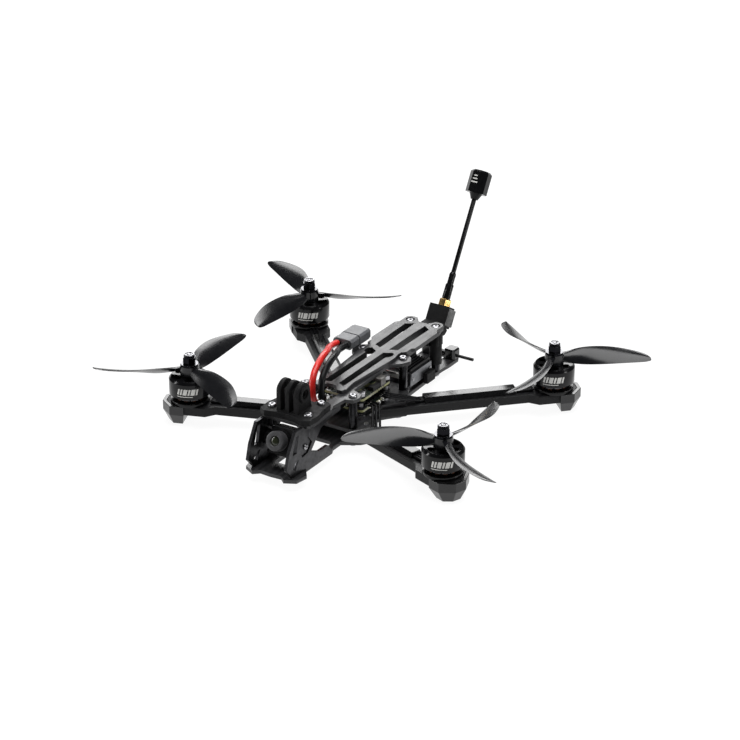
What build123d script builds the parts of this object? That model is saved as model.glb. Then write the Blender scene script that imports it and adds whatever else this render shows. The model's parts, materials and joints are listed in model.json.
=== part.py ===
# A five-inch first-person-view quadcopter, in millimetres.
# +Z up, nose towards -Y, the craft's left side towards +X.
# Origin: on the ground, under the middle of the craft's box.
import os
from math import atan2, cos, degrees, pi, radians, sin, tan

from build123d import *

os.makedirs("parts", exist_ok=True)

# ---------------------------------------------------------------- driving dimensions
MOTOR_X = 98.0  # motor axes, either side of the middle
FRONT_MOTOR_Y = -84.0
REAR_MOTOR_Y = 61.0
FRONT_ARM_ANGLE = 20.0  # the front arms run almost sideways
REAR_ARM_ANGLE = 45.0
MIRROR_SIDES = {"left": 1, "right": -1}

# heights of the layers, from the ground up
BOTTOM_PLATE_Z = 6.0
PLATE = 2.5  # carbon plates
ARM_Z = BOTTOM_PLATE_Z + PLATE
ARM_THICKNESS = 6.0
MID_PLATE_Z = ARM_Z + ARM_THICKNESS
MID_TOP = MID_PLATE_Z + PLATE
STANDOFF = 20.0
MAIN_PLATE_Z = MID_TOP + STANDOFF
MAIN_TOP = MAIN_PLATE_Z + PLATE
BATTERY_TOP = MAIN_TOP + PLATE

ARM_WIDTH = 14.5
PAD_WIDTH = 24.0  # motor pad at the arm's end
ARM_ROOT_X = 6.5  # where each arm's axis ends, beside the middle

# fasteners: M3 button heads, with a small clearance in every hole
M3_R = 1.5
M3_HOLE_R = 1.6
HEAD_R = 2.85
HEAD_H = 1.7
COUNTERBORE = 1.8
TAPPED_R = 1.55
STANDOFF_R = 2.9

FRONT_STANDOFF = (18.6, -65.4)
MID_STANDOFF = (15.9, 1.1)
REAR_STANDOFF = (10.2, 53.2)
CAGE_FRONT_SCREW = (13.8, -110.8)
CAGE_REAR_SCREW = (11.3, -92.0)

STACK_Y = -35.0  # middle of the electronics stack
STACK_HALF = 15.25  # 30.5 mm square pattern
STACK_BOARD = (36.0, 36.0, 1.6)
ESC_Z = 22.0
FC_Z = 30.0

# cage and camera
CAGE_X = 13.6  # inner faces of the two side plates
CAGE_THICKNESS = 2.2
PIVOT_Y = -116.5
PIVOT_Z = 24.0
CAMERA_TILT = 23.0
CAMERA_SIZE = 19.0
LENS_R = 6.6
LENS_REACH = 13.9  # pivot to the lens's front ring

# action-camera mount: three ears of the common pattern
EAR = 3.2
EAR_PITCH = 6.5
EAR_R = 7.5
EAR_HOLE_R = 2.5
EAR_Y = -107.0
EAR_Z = 55.5
BRACKET_THICKNESS = 4.0

# motor, 2207 size
BELL_R = 14.0
BELL_BOTTOM_Z = 20.5
BELL_TOP_Z = 33.0
MOTOR_BASE_R = 13.2
STATOR_R = 11.0
STATOR_Z = (18.6, 28.6)
MOTOR_SCREW_R = 8.0  # 16 mm pattern
SHAFT_R = 2.5
BEARING_SHAFT_R = 2.0
BEARING_BORE_R = 2.05
HUB_Z = 33.5
HUB_HEIGHT = 7.0
HUB_R = 6.4
NUT_TOP_Z = 48.0

# propeller, 5.1 inch across with a 4.7 inch pitch
PROP_PITCH = 119.0
PROP_Z = 37.0
BLADE_R = (4.5, 12.0, 22.0, 34.0, 46.0, 56.0, 62.0, 64.2)
BLADE_CHORD = (7.5, 10.5, 13.5, 15.0, 14.0, 11.0, 7.0, 2.6)
BLADE_SWEEP = (0.0, 0.6, 1.4, 1.2, -0.4, -3.0, -5.4, -7.2)
BLADE_THICKNESS = (3.0, 2.4, 2.0, 1.7, 1.4, 1.1, 0.9, 0.7)
TIP_LAG = degrees(atan2(-BLADE_SWEEP[-1], BLADE_R[-1]))

# antenna, leaning back over the tail
ANTENNA_LEAN = 31.0
ANTENNA_Y = 80.7
ANTENNA_Z = 43.7
STEM_R = 1.6
CAP_R = 7.6

# battery lead: two wires that hold the plug over the deck's right edge
WIRE_R = 2.25
PLUG_CENTRE_X = -23.5
PLUG_FRONT_Y, PLUG_REAR_Y = -12.5, 11.5
PLUG_WIDTH, PLUG_HEIGHT = 15.8, 8.1
PLUG_PITCH = 7.2


def save(builder, label):
    """Name a finished sub-part and write its STEP file."""
    builder.part.label = label
    export_step(builder.part, f"parts/{label}.step")
    print(f"{label:24s} {len(builder.part.solids()):3d} solids {builder.part.volume:10.1f} mm3")


def both_sides(*points):
    """The same places on the left and on the right."""
    return [(side * x, y) for x, y in points for side in (1, -1)]


def half_outline(points):
    """A closed outline, symmetric about the middle, from its left half (front to tail)."""
    return points + [(-x, y) for x, y in reversed(points) if x > 0]


def arm_plane(front, side, z):
    """Local X runs outward along the arm from its motor axis, local Y across it."""
    y = FRONT_MOTOR_Y if front else REAR_MOTOR_Y
    angle = radians(-FRONT_ARM_ANGLE if front else REAR_ARM_ANGLE)
    outward = (side * cos(angle), sin(angle), 0)
    return Plane(origin=(side * MOTOR_X, y, z), x_dir=outward, z_dir=(0, 0, 1))


def arm_length(front):
    """Distance from the motor axis in to the arm's root."""
    return (MOTOR_X - ARM_ROOT_X) / cos(radians(FRONT_ARM_ANGLE if front else REAR_ARM_ANGLE))


ARMS = [("front", "left"), ("front", "right"), ("rear", "left"), ("rear", "right")]
STACK_HOLES = both_sides((STACK_HALF, STACK_Y - STACK_HALF), (STACK_HALF, STACK_Y + STACK_HALF))
STANDOFF_HOLES = both_sides(FRONT_STANDOFF, MID_STANDOFF)
REAR_HOLES = both_sides(REAR_STANDOFF)
CAGE_HOLES = both_sides(CAGE_FRONT_SCREW, CAGE_REAR_SCREW)
ARM_BOLTS = both_sides((23.5, -56.9), (22.0, -15.0))


def pad_outline(grow=0.0):
    """The arm's end: a motor pad with a faceted nose, in arm coordinates."""
    w = PAD_WIDTH / 2 + grow
    nose = 15.5 + grow
    return [(-13.0, -w), (8.5, -w), (nose, -3.5), (nose, 3.5), (8.5, w), (-13.0, w)]


# ---------------------------------------------------------------- carbon plates
BOTTOM_OUTLINE = half_outline([
    (0, -134.5), (8, -134.0), (12, -137.5), (19.5, -133.5), (21, -124), (15.8, -117),
    (15.8, -86), (14, -82), (14, -73), (25, -66), (28.5, -61), (28.5, -50), (17, -43), (17, -28),
    (28, -13.5), (18, -3.5), (14.5, 2), (13, 47), (13, 58), (13.8, 66), (13.8, 78), (10, 85.5), (0, 85.5)])

NOSE_OPENING = half_outline([
    (0, -119), (4.5, -119), (6.5, -117), (6.5, -106), (9.8, -101), (9.8, -78.5), (7.5, -76), (0, -76)])

with BuildPart() as bottom_plate:
    with BuildSketch(Plane.XY.offset(BOTTOM_PLATE_Z)):
        with BuildLine():
            Polyline(*BOTTOM_OUTLINE, close=True)
        make_face()
        with Locations(*STACK_HOLES, *STANDOFF_HOLES, *REAR_HOLES, *ARM_BOLTS):
            Circle(M3_HOLE_R, mode=Mode.SUBTRACT)
        with Locations((0, -35), (0, 68)):
            SlotOverall(22, 9, rotation=90, mode=Mode.SUBTRACT)
        with BuildLine():
            Polyline(*NOSE_OPENING, close=True)
        make_face(mode=Mode.SUBTRACT)
    extrude(amount=PLATE)
save(bottom_plate, "bottom_plate")

MID_OUTLINE = half_outline([
    (0, -69), (14, -69), (23, -69), (25, -65), (28, -60), (28, -50), (17.5, -44), (17.5, -27),
    (27.5, -14), (18.5, -5), (20.5, 1), (18, 6), (0, 6)])

with BuildPart() as mid_plate:
    with BuildSketch(Plane.XY.offset(MID_PLATE_Z)):
        with BuildLine():
            Polyline(*MID_OUTLINE, close=True)
        make_face()
        with Locations(*STACK_HOLES, *STANDOFF_HOLES, *ARM_BOLTS):
            Circle(M3_HOLE_R, mode=Mode.SUBTRACT)
        with Locations((0, STACK_Y)):
            RegularPolygon(9, 6, mode=Mode.SUBTRACT)
    extrude(amount=PLATE)
save(mid_plate, "mid_plate")

MAIN_OUTLINE = half_outline([
    (0, -117), (17, -117), (19, -110), (17.5, -89), (15.5, -84), (16.5, -72), (22, -70),
    (23.5, -65), (22, -60), (14, -57), (13, -12), (20, -6), (22.5, 0), (20, 5), (15, 9),
    (15, 50), (13, 58.5), (7, 58.5), (5, 53), (0, 53)])

# strap slots, cut through both deck plates
FRONT_SLOT = [(2.8, -57.5), (7.8, -60), (7.8, -8.5), (10.4, -5.5), (10.4, -1.5), (8, 0.5), (2.8, -3)]
REAR_SLOT = [(3.6, 3.5), (8.8, 6), (9.4, 41.5), (9.4, 45), (4.2, 49), (3.6, 37)]
MAIN_FRONT_SLOT = [(2.8, -53.5), (7.8, -53.5), *FRONT_SLOT[2:]]  # stops short of the lead's opening

with BuildPart() as main_top_plate:
    with BuildSketch(Plane.XY.offset(MAIN_PLATE_Z)):
        with BuildLine():
            Polyline(*MAIN_OUTLINE, close=True)
        make_face()
        with Locations(*STANDOFF_HOLES, *REAR_HOLES, *CAGE_HOLES):
            Circle(M3_HOLE_R, mode=Mode.SUBTRACT)
        with Locations((0, -72)):  # the battery lead comes up here
            RectangleRounded(17, 30, 2, mode=Mode.SUBTRACT)
        for outline in (MAIN_FRONT_SLOT, REAR_SLOT):
            for side in (1, -1):
                with BuildLine():
                    Polyline(*[(side * x, y) for x, y in outline], close=True)
                make_face(mode=Mode.SUBTRACT)
    extrude(amount=PLATE)
save(main_top_plate, "main_top_plate")

BATTERY_OUTLINE = half_outline([
    (0, -61), (3.5, -62), (7, -67), (10.5, -66.5), (12, -63), (10.5, -52), (13.5, -11.5),
    (13.5, -5), (12.4, 0.5), (12.6, 4), (15.4, 6.5), (15.4, 12.5), (17.3, 14.5), (17.3, 22), (17, 44),
    (14.8, 47), (14.8, 56), (12, 58.5), (7.5, 58.5), (3.5, 53), (0, 53)])

with BuildPart() as battery_plate:
    with BuildSketch(Plane.XY.offset(MAIN_TOP)):
        with BuildLine():
            Polyline(*BATTERY_OUTLINE, close=True)
        make_face()
        with Locations(*REAR_HOLES):
            Circle(M3_HOLE_R, mode=Mode.SUBTRACT)
        for outline in (FRONT_SLOT, REAR_SLOT):
            for side in (1, -1):
                with BuildLine():
                    Polyline(*[(side * x, y) for x, y in outline], close=True)
                make_face(mode=Mode.SUBTRACT)
    extrude(amount=PLATE)
    with BuildSketch(Plane.XY.offset(BATTERY_TOP)):  # the rear screws' heads lie below the deck's face
        with Locations(*REAR_HOLES):
            Circle(HEAD_R + 0.2)
    extrude(amount=-COUNTERBORE, mode=Mode.SUBTRACT)
save(battery_plate, "battery_plate")

# ---------------------------------------------------------------- arms, covers and feet
for where, side_name in ARMS:
    front, side = where == "front", MIRROR_SIDES[side_name]
    with BuildPart() as arm:
        with BuildSketch(arm_plane(front, side, ARM_Z)):
            root = -arm_length(front)
            w = ARM_WIDTH / 2
            with BuildLine():
                Polyline(*pad_outline(), (-19.0, w), (root, w), (root, -w), (-19.0, -w), close=True)
            make_face()
            Circle(3.2, mode=Mode.SUBTRACT)
            with PolarLocations(MOTOR_SCREW_R, 4, start_angle=45):
                Circle(M3_HOLE_R, mode=Mode.SUBTRACT)
        extrude(amount=ARM_THICKNESS)
        with BuildSketch(Plane.XY.offset(ARM_Z)):
            with Locations(*STACK_HOLES, *ARM_BOLTS):
                Circle(M3_HOLE_R)
        extrude(amount=ARM_THICKNESS, mode=Mode.SUBTRACT)
    save(arm, f"arm_{where}_{side_name}")

FOOT_TAPER_Z = 7.0
GUARD_TOP_Z = 17.5
WALL = 1.8

for where, side_name in ARMS:
    front, side = where == "front", MIRROR_SIDES[side_name]
    with BuildPart() as guard:
        with BuildSketch(arm_plane(front, side, FOOT_TAPER_Z)):
            with BuildLine():
                Polyline(*[(max(x, -3.0), y) for x, y in pad_outline(WALL)], close=True)
            make_face()
        extrude(amount=GUARD_TOP_Z - FOOT_TAPER_Z)
        with BuildSketch(arm_plane(front, side, ARM_Z)):
            with BuildLine():
                Polyline(*pad_outline(), close=True)
            make_face()
        extrude(amount=GUARD_TOP_Z - ARM_Z, mode=Mode.SUBTRACT)
        with BuildSketch(arm_plane(front, side, FOOT_TAPER_Z)):
            with BuildLine():
                Polyline(*[(max(x, -3.0), y) for x, y in pad_outline(WALL)], close=True)
            make_face()
        with BuildSketch(arm_plane(front, side, 0)):
            with BuildLine():
                Polyline((2, -8), (10, -8), (14, -3), (14, 3), (10, 8), (2, 8), close=True)
            make_face()
        loft(ruled=True)
        with BuildSketch(arm_plane(front, side, ARM_Z)):  # room for the two outer motor screws
            with PolarLocations(MOTOR_SCREW_R, 4, start_angle=45):
                Circle(HEAD_R + 0.5)
            Circle(3.2)
        extrude(amount=-3.0, mode=Mode.SUBTRACT)
        with BuildSketch(arm_plane(front, side, MID_PLATE_Z)):  # room for the motor's round base
            Circle(MOTOR_BASE_R + 0.2)
        extrude(amount=GUARD_TOP_Z - MID_PLATE_Z, mode=Mode.SUBTRACT)
    save(guard, f"foot_guard_{where}_{side_name}")

COVER_START = 27.0  # from the motor axis
COVER_END = {"front": 66.0, "rear": 90.0}
WIRE_PITCH = 2.0
MOTOR_WIRE_R = 0.9

with BuildPart() as wire_covers:
    for where, side_name in ARMS:
        plane = arm_plane(where == "front", MIRROR_SIDES[side_name], MID_PLATE_Z)
        length = COVER_END[where] - COVER_START
        start = plane.origin - plane.x_dir * COVER_START
        with BuildSketch(Plane(origin=start, x_dir=-plane.y_dir, z_dir=-plane.x_dir)):
            with BuildLine():
                Polyline((-4.7, 0), (-3.4, 4.0), (3.4, 4.0), (4.7, 0), close=True)
            make_face()
            with Locations((0, 1.3)):
                Rectangle(6.4, 2.6, mode=Mode.SUBTRACT)
        extrude(amount=length)
save(wire_covers, "wire_covers")

# ---------------------------------------------------------------- cage
CAGE_OUTLINE = [
    (-132.0, 8.5), (-139.0, 16.0), (-136.0, 26.5), (-128.5, 39.3), (-119.5, 39.3), (-117.3, 37.0),
    (-76.0, 37.0), (-76.0, 33.5), (-91.0, 33.0), (-99.5, 30.0), (-107.0, 22.5), (-110.8, 18.6),
    (-101.3, 14.5), (-91.0, 14.3), (-86.0, 8.5)]
CAGE_SLOTS = [
    [(-128.0, 36.0), (-124.8, 36.0), (-127.5, 24.0), (-132.2, 24.0)],
    [(-128.5, 18.5), (-125.2, 18.5), (-129.0, 12.0), (-132.5, 14.5)]]
PIVOT_RECESS = [
    (-119.9, 32.0), (-113.5, 30.0), (-109.6, 25.0), (-114.5, 19.2), (-121.1, 18.3), (-125.4, 25.2)]
BOSS_DEPTH = 7.0
PIVOT_HOLE_R = 1.05
RECESS = 0.8

for side_name, side in MIRROR_SIDES.items():
    with BuildPart() as camera_plate:
        with BuildSketch(Plane.YZ.offset(side * CAGE_X)):
            with BuildLine():
                Polyline(*CAGE_OUTLINE, close=True)
            make_face()
            for slot in CAGE_SLOTS:
                with BuildLine():
                    Polyline(*slot, close=True)
                make_face(mode=Mode.SUBTRACT)
            with Locations((PIVOT_Y, PIVOT_Z)):
                Circle(PIVOT_HOLE_R, mode=Mode.SUBTRACT)
        extrude(amount=side * CAGE_THICKNESS)
        for x, y in (CAGE_FRONT_SCREW, CAGE_REAR_SCREW):  # tapped bosses for the bracket's screws
            with BuildSketch(Plane.XY.offset(MAIN_PLATE_Z)):
                with Locations((side * x, y)):
                    RectangleRounded(5.4, 6.4, 1.0)
            extrude(amount=-BOSS_DEPTH)
            with BuildSketch(Plane.XY.offset(MAIN_PLATE_Z)):
                with Locations((side * x, y)):
                    Circle(TAPPED_R)
            extrude(amount=-BOSS_DEPTH + 1.0, mode=Mode.SUBTRACT)
        with BuildSketch(Plane.YZ.offset(side * (CAGE_X + CAGE_THICKNESS))):
            with BuildLine():
                Polyline(*PIVOT_RECESS, close=True)
            make_face()
        extrude(amount=-side * RECESS, mode=Mode.SUBTRACT)
    save(camera_plate, f"camera_plate_{side_name}")

BRACKET_Z = MAIN_TOP
BRACKET_TOP = BRACKET_Z + BRACKET_THICKNESS
BRACKET_OUTLINE = half_outline([
    (0, -116.5), (8, -117.5), (14.5, -119.5), (19, -117), (19.5, -108), (17.5, -98), (17.5, -90),
    (14.5, -87.5), (8, -87.5), (6, -92), (0, -92)])

with BuildPart() as action_cam_mount:
    with BuildSketch(Plane.XY.offset(BRACKET_Z)):
        with BuildLine():
            Polyline(*BRACKET_OUTLINE, close=True)
        make_face()
        with Locations(*CAGE_HOLES):
            Circle(M3_HOLE_R, mode=Mode.SUBTRACT)
    extrude(amount=BRACKET_THICKNESS)
    for x in (-EAR_PITCH, 0, EAR_PITCH):
        with BuildSketch(Plane.YZ.offset(x - EAR / 2)):
            with BuildLine():
                top = ThreePointArc((EAR_Y - EAR_R, EAR_Z), (EAR_Y, EAR_Z + EAR_R), (EAR_Y + EAR_R, EAR_Z))
                Polyline(top @ 1, (EAR_Y + EAR_R + 1.5, BRACKET_TOP), (EAR_Y - EAR_R, BRACKET_TOP), top @ 0)
            make_face()
            with Locations((EAR_Y, EAR_Z)):
                Circle(EAR_HOLE_R, mode=Mode.SUBTRACT)
        extrude(amount=EAR)
save(action_cam_mount, "action_cam_mount")

# ---------------------------------------------------------------- standoffs and screws
with BuildPart() as standoffs:
    for holes, low in ((STANDOFF_HOLES, MID_TOP), (REAR_HOLES, ARM_Z)):
        with BuildSketch(Plane.XY.offset(low)):
            with Locations(*holes):
                Circle(STANDOFF_R)
                Circle(TAPPED_R, mode=Mode.SUBTRACT)
        extrude(amount=MAIN_PLATE_Z - low)
save(standoffs, "standoffs")


def button_screw(length, radius=M3_R, head=(HEAD_R, HEAD_H)):
    """A button-head screw, seated at the origin with its head up."""
    head_r, head_h = head
    with BuildPart() as screw:
        with BuildSketch(Plane.XZ):
            with BuildLine():
                dome = ThreePointArc((head_r, 0.3), (head_r * 0.86, head_h * 0.75), (head_r * 0.55, head_h))
                Polyline(dome @ 1, (0, head_h), (0, -length), (radius, -length), (radius, 0), (head_r, 0),
                         dome @ 0)
            make_face()
        revolve(axis=Axis.Z)
        with BuildSketch(Plane.XY.offset(head_h)):
            RegularPolygon(head_r * 0.42, 6)
        extrude(amount=-head_h * 0.6, mode=Mode.SUBTRACT)
    return screw.part


def heads_up(places, z):
    return [Location((x, y, z)) for x, y in places]


def heads_down(places, z):
    return [Location((x, y, z), (180, 0, 0)) for x, y in places]


with BuildPart() as frame_screws:
    with Locations(*heads_up(STANDOFF_HOLES, MAIN_TOP)):
        add(button_screw(7))
    with Locations(*heads_up(REAR_HOLES, BATTERY_TOP - COUNTERBORE)):
        add(button_screw(8.2))
    with Locations(*heads_up(CAGE_HOLES, BRACKET_TOP)):
        add(button_screw(10))
    with Locations(*heads_down(STANDOFF_HOLES, BOTTOM_PLATE_Z)):
        add(button_screw(16))
    with Locations(*heads_down(REAR_HOLES, BOTTOM_PLATE_Z)):
        add(button_screw(8))
    with Locations(*heads_down(ARM_BOLTS, BOTTOM_PLATE_Z)):
        add(button_screw(12))
    for where, side_name in ARMS:  # the motors are held from under the arms
        seat = Location(arm_plane(where == "front", MIRROR_SIDES[side_name], ARM_Z))
        with Locations(seat):
            with PolarLocations(MOTOR_SCREW_R, 4, start_angle=45):
                with Locations(Location((0, 0, 0), (180, 0, 0))):
                    add(button_screw(ARM_THICKNESS + 2.2))
save(frame_screws, "frame_screws")

# ---------------------------------------------------------------- electronics
GROMMET_R = 3.0
BOARD_HOLE_R = 2.0
BOLT_TOP_Z = FC_Z + 5.5

with BuildPart() as stack_bolts:
    with Locations(*heads_down(STACK_HOLES, BOTTOM_PLATE_Z)):
        add(button_screw(BOLT_TOP_Z - BOTTOM_PLATE_Z))
    for z in (MID_TOP, BOLT_TOP_Z - 2.4):
        with BuildSketch(Plane.XY.offset(z)):
            with Locations(*STACK_HOLES):
                RegularPolygon(3.1, 6)
                Circle(M3_R, mode=Mode.SUBTRACT)
        extrude(amount=2.4)
save(stack_bolts, "stack_bolts")

with BuildPart() as stack_grommets:
    for board_z in (ESC_Z, FC_Z):
        for z, radius, height in ((-1.6, GROMMET_R, 1.6), (0, BOARD_HOLE_R, STACK_BOARD[2]),
                                  (STACK_BOARD[2], GROMMET_R, 1.5)):
            with BuildSketch(Plane.XY.offset(board_z + z)):
                with Locations(*STACK_HOLES):
                    Circle(radius)
                    Circle(TAPPED_R, mode=Mode.SUBTRACT)
            extrude(amount=height)
save(stack_grommets, "stack_grommets")


def circuit_board(z):
    """A 30.5 mm stack board with soft-mount holes."""
    with BuildPart() as board:
        with BuildSketch(Plane.XY.offset(z)):
            with Locations((0, STACK_Y)):
                RectangleRounded(STACK_BOARD[0], STACK_BOARD[1], 3)
            with Locations(*STACK_HOLES):
                Circle(BOARD_HOLE_R, mode=Mode.SUBTRACT)
        extrude(amount=STACK_BOARD[2])
    return board.part


with BuildPart() as flight_controller:
    add(circuit_board(FC_Z))
    top = FC_Z + STACK_BOARD[2]
    with Locations((0, STACK_Y, top + 0.5), (-6, STACK_Y + 9, top + 0.4), (6, STACK_Y - 9, top + 0.4)):
        Box(7, 7, 1.2)
    with Locations((9.5, STACK_Y + 4, top + 1.5)):  # USB socket
        Box(9, 7.4, 3.2)
save(flight_controller, "flight_controller")

LEAD_X = 3.4  # battery lead's solder tabs, either side of the middle
LEAD_Z = 25.6
TAB_FRONT_Y = -53.6
with BuildPart() as speed_controller:
    add(circuit_board(ESC_Z))
    top = ESC_Z + STACK_BOARD[2]
    with Locations((0, STACK_Y, top + 0.4)):
        with GridLocations(6.0, 18.0, 4, 2):
            Box(5, 5.6, 1.0)
    with Locations((0, STACK_Y, top + 0.5)):
        Box(10, 10, 1.2)
    with Locations((LEAD_X, TAB_FRONT_Y, top), (-LEAD_X, TAB_FRONT_Y, top)):
        Box(4.6, 3.0, 4.2, align=(Align.CENTER, Align.MIN, Align.MIN))
save(speed_controller, "speed_controller")

CAPACITOR_R = 5.0
with BuildPart() as capacitor:
    with Locations(Location((-9.5, -11.5, MID_TOP + CAPACITOR_R + 6.0), (0, 90, 0))):
        Cylinder(CAPACITOR_R, 19, align=(Align.CENTER, Align.CENTER, Align.MIN))
    fillet(capacitor.edges().filter_by(GeomType.CIRCLE), 0.8)
save(capacitor, "capacitor")

with BuildPart() as receiver:
    with Locations((0, -10, MAIN_PLATE_Z - 2.0)):
        Box(12, 18, 3.4)
save(receiver, "receiver")

VTX_SIZE = (28.0, 27.0, 9.0)
VTX_Y = 28.5
VTX_Z = 12.5
BUTTON_R = 1.2
BUTTON_PLACE = (9.5, 24.0)
with BuildPart() as vtx_module:
    with Locations((0, VTX_Y, VTX_Z)):
        Box(*VTX_SIZE, align=(Align.CENTER, Align.CENTER, Align.MIN))
    fillet(vtx_module.edges().filter_by(Axis.Z), 1.0)
    with Locations((0, VTX_Y, VTX_Z)):  # four feet stand it off the bottom plate
        with GridLocations(20, 20, 2, 2):
            Cylinder(2, VTX_Z - ARM_Z, align=(Align.CENTER, Align.CENTER, Align.MAX))
    for y in range(-12, 1, 3):  # cooling fins
        with Locations((-3, VTX_Y + y, VTX_Z + VTX_SIZE[2])):
            Box(16, 1.2, 2.0, align=(Align.CENTER, Align.CENTER, Align.MIN))
    with Locations((*BUTTON_PLACE, VTX_Z + VTX_SIZE[2])):
        Cylinder(BUTTON_R + 0.08, 2.0, align=(Align.CENTER, Align.CENTER, Align.MAX), mode=Mode.SUBTRACT)
save(vtx_module, "vtx_module")

with BuildPart() as vtx_button:
    with Locations((*BUTTON_PLACE, VTX_Z + VTX_SIZE[2] - 1.4)):
        Cylinder(BUTTON_R, 2.2, align=(Align.CENTER, Align.CENTER, Align.MIN))
save(vtx_button, "vtx_button")

# ---------------------------------------------------------------- camera
camera_axis = Plane(
    origin=(0, PIVOT_Y, PIVOT_Z), x_dir=(1, 0, 0),
    z_dir=(0, -cos(radians(CAMERA_TILT)), sin(radians(CAMERA_TILT))))
SIDE_GAP = 0.1

with BuildPart() as camera_body:
    with BuildSketch(camera_axis.offset(-7.5)):
        Rectangle(CAMERA_SIZE, CAMERA_SIZE)
    extrude(amount=13.0)
    fillet(camera_body.edges(), 1.5)
    with BuildSketch(Plane.YZ.offset(-(CAGE_X - SIDE_GAP))):  # side adapters, up to the cage plates
        with Locations((PIVOT_Y, PIVOT_Z)):
            Circle(5.0)
    extrude(amount=2 * (CAGE_X - SIDE_GAP))
    with BuildSketch(camera_axis):
        Circle(LENS_R + 0.6)
    extrude(amount=7.5)
    with BuildSketch(camera_axis.offset(7.5)):
        Circle(LENS_R - 0.5)
    extrude(amount=-7.0, mode=Mode.SUBTRACT)
    for side in (1, -1):
        with BuildSketch(Plane.YZ.offset(side * (CAGE_X - SIDE_GAP))):
            with Locations((PIVOT_Y, PIVOT_Z)):
                Circle(1.0)
        extrude(amount=-side * 4.0, mode=Mode.SUBTRACT)
save(camera_body, "camera_body")

with BuildPart() as camera_lens:
    with BuildSketch(camera_axis.offset(0.5)):
        Circle(LENS_R - 0.5)
    extrude(amount=7.0)
    with BuildSketch(camera_axis.offset(7.5)):
        Circle(LENS_R)
    extrude(amount=LENS_REACH - 7.5)
    fillet(camera_lens.edges().filter_by(GeomType.CIRCLE).sort_by(Axis.Y)[0], 0.6)
    with BuildSketch(camera_axis.offset(LENS_REACH)):
        Circle(LENS_R - 2.4)
    extrude(amount=-1.2, taper=20, mode=Mode.SUBTRACT)
save(camera_lens, "camera_lens")

with BuildPart() as camera_pivot_screws:
    for side in (1, -1):
        seat = side * (CAGE_X + CAGE_THICKNESS - RECESS + 0.1)
        with Locations(Location((seat, PIVOT_Y, PIVOT_Z), (0, 90 * side, 0))):
            add(button_screw(5.2, radius=1.0, head=(2.0, 1.2)))
save(camera_pivot_screws, "camera_pivot_screws")

# ---------------------------------------------------------------- video antenna and its mount
lean = radians(ANTENNA_LEAN)
antenna_axis = Plane(
    origin=(0, ANTENNA_Y, ANTENNA_Z), x_dir=(1, 0, 0), z_dir=(0, sin(lean), cos(lean)))
SMA_R = 3.0
MOUNT_DEPTH = 14.5
LEG_Z = 14.0
NUT_HEIGHT = 5.0
BOOT_TOP = 15.5
SLEEVE_TOP = 21.7
NECK = 76.6
CAP_BASE = 81.0
CAP_TOP = 97.0

with BuildPart() as antenna_mount:
    with BuildSketch(antenna_axis):
        Polygon((-7.5, -6.5), (7.5, -6.5), (7.5, 2.5), (5.0, 6.0), (-5.0, 6.0), (-7.5, 2.5), align=None)
    extrude(amount=-MOUNT_DEPTH)
    with BuildSketch(Plane.YZ.offset(-7.5)):  # neck, forward to the rear standoffs
        with BuildLine():
            Polyline((47.5, 28), (47.5, 37), (69, 37), (73, 30), (70, 28), close=True)
        make_face()
    extrude(amount=15)
    with BuildSketch(Plane.XY.offset(28)):
        with Locations((0, REAR_STANDOFF[1])):
            RectangleRounded(28, 9, 2)
    extrude(amount=9.0)
    with BuildSketch(Plane.XY.offset(LEG_Z)):  # a sleeve down each rear standoff
        with Locations(*REAR_HOLES):
            Circle(STANDOFF_R + 1.4)
    extrude(amount=MAIN_PLATE_Z - LEG_Z)
    with BuildSketch(Plane.XY.offset(LEG_Z)):
        with Locations(*REAR_HOLES):
            Circle(STANDOFF_R + 0.05)
    extrude(amount=MAIN_PLATE_Z - LEG_Z, mode=Mode.SUBTRACT)
    with BuildSketch(antenna_axis):
        Circle(SMA_R + 0.05)
    extrude(amount=-MOUNT_DEPTH, mode=Mode.SUBTRACT)
save(antenna_mount, "antenna_mount")

with BuildPart() as sma_connector:
    with BuildSketch(antenna_axis):
        RegularPolygon(4.0, 6, major_radius=False)
    extrude(amount=NUT_HEIGHT)
    chamfer(sma_connector.faces().sort_by(Axis.Z)[-1].edges(), 0.5)
    with BuildSketch(antenna_axis):
        Circle(SMA_R)
    extrude(amount=-MOUNT_DEPTH + 1.5)
save(sma_connector, "sma_connector")

with BuildPart() as antenna_stem:
    for low, high, radius in ((NUT_HEIGHT, BOOT_TOP, 2.9), (BOOT_TOP, SLEEVE_TOP, 2.3),
                              (SLEEVE_TOP, NECK, STEM_R)):
        with BuildSketch(antenna_axis.offset(low)):
            Circle(radius)
        extrude(amount=high - low)
save(antenna_stem, "antenna_stem")

with BuildPart() as antenna_cap:
    with BuildSketch(antenna_axis.offset(CAP_BASE)):
        RegularPolygon(CAP_R, 8, rotation=22.5)
    extrude(amount=CAP_TOP - CAP_BASE)
    chamfer(antenna_cap.faces().sort_by(Axis.Z)[-1].edges(), 1.4)
    with BuildSketch(antenna_axis.offset(NECK)):
        Circle(STEM_R + 0.9)
    with BuildSketch(antenna_axis.offset(CAP_BASE)):
        Circle(4.6)
    loft()
save(antenna_cap, "antenna_cap")

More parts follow.
